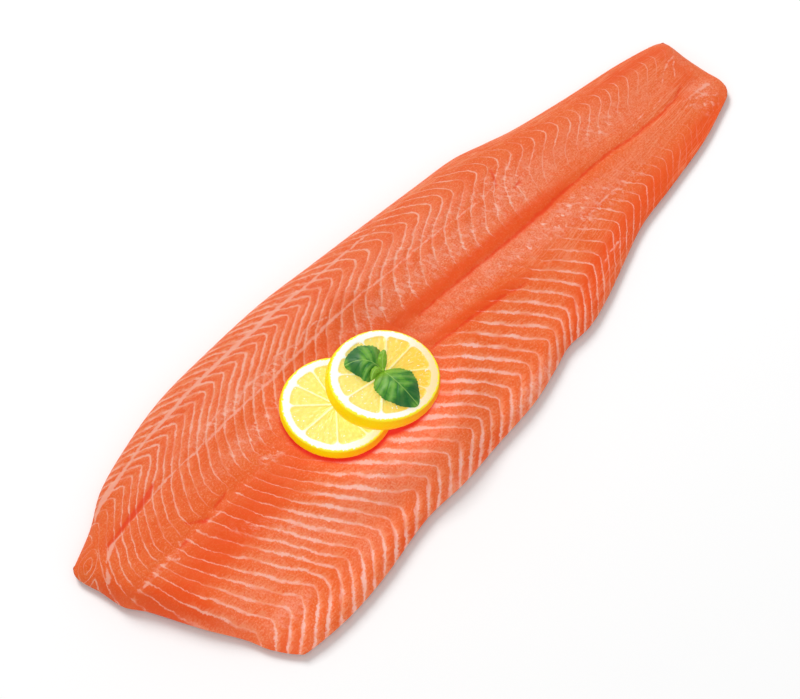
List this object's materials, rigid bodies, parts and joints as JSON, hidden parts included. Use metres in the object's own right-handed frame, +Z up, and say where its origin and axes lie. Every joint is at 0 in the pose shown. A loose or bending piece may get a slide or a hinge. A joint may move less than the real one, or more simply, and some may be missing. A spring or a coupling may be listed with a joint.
{
  "type": "salmon side",
  "caption": "Raw side of salmon lying skin down, with two overlapping lemon slices and a basil sprig on top.",
  "frame": {"origin": "on the flat underside, under the middle of the whole part's bounding box", "axes": "+X from the head end to the tail, +Y to the thick back edge, -Y to the belly edge, +Z up"},
  "size_m": [0.4837, 0.1685, 0.0565],
  "materials": {
    "salmon_flesh": "moist raw orange flesh with pale fat lines",
    "lemon": "waxy yellow rind, white pith and moist yellow pulp",
    "basil": "satin green leaf with paler veins"
  },
  "bodies": {
    "root": {"salmon_side": "salmon_flesh", "lemon_slice_lower": "lemon", "lemon_slice_upper": "lemon", "basil_sprig": "basil"}
  },
  "joints": []
}
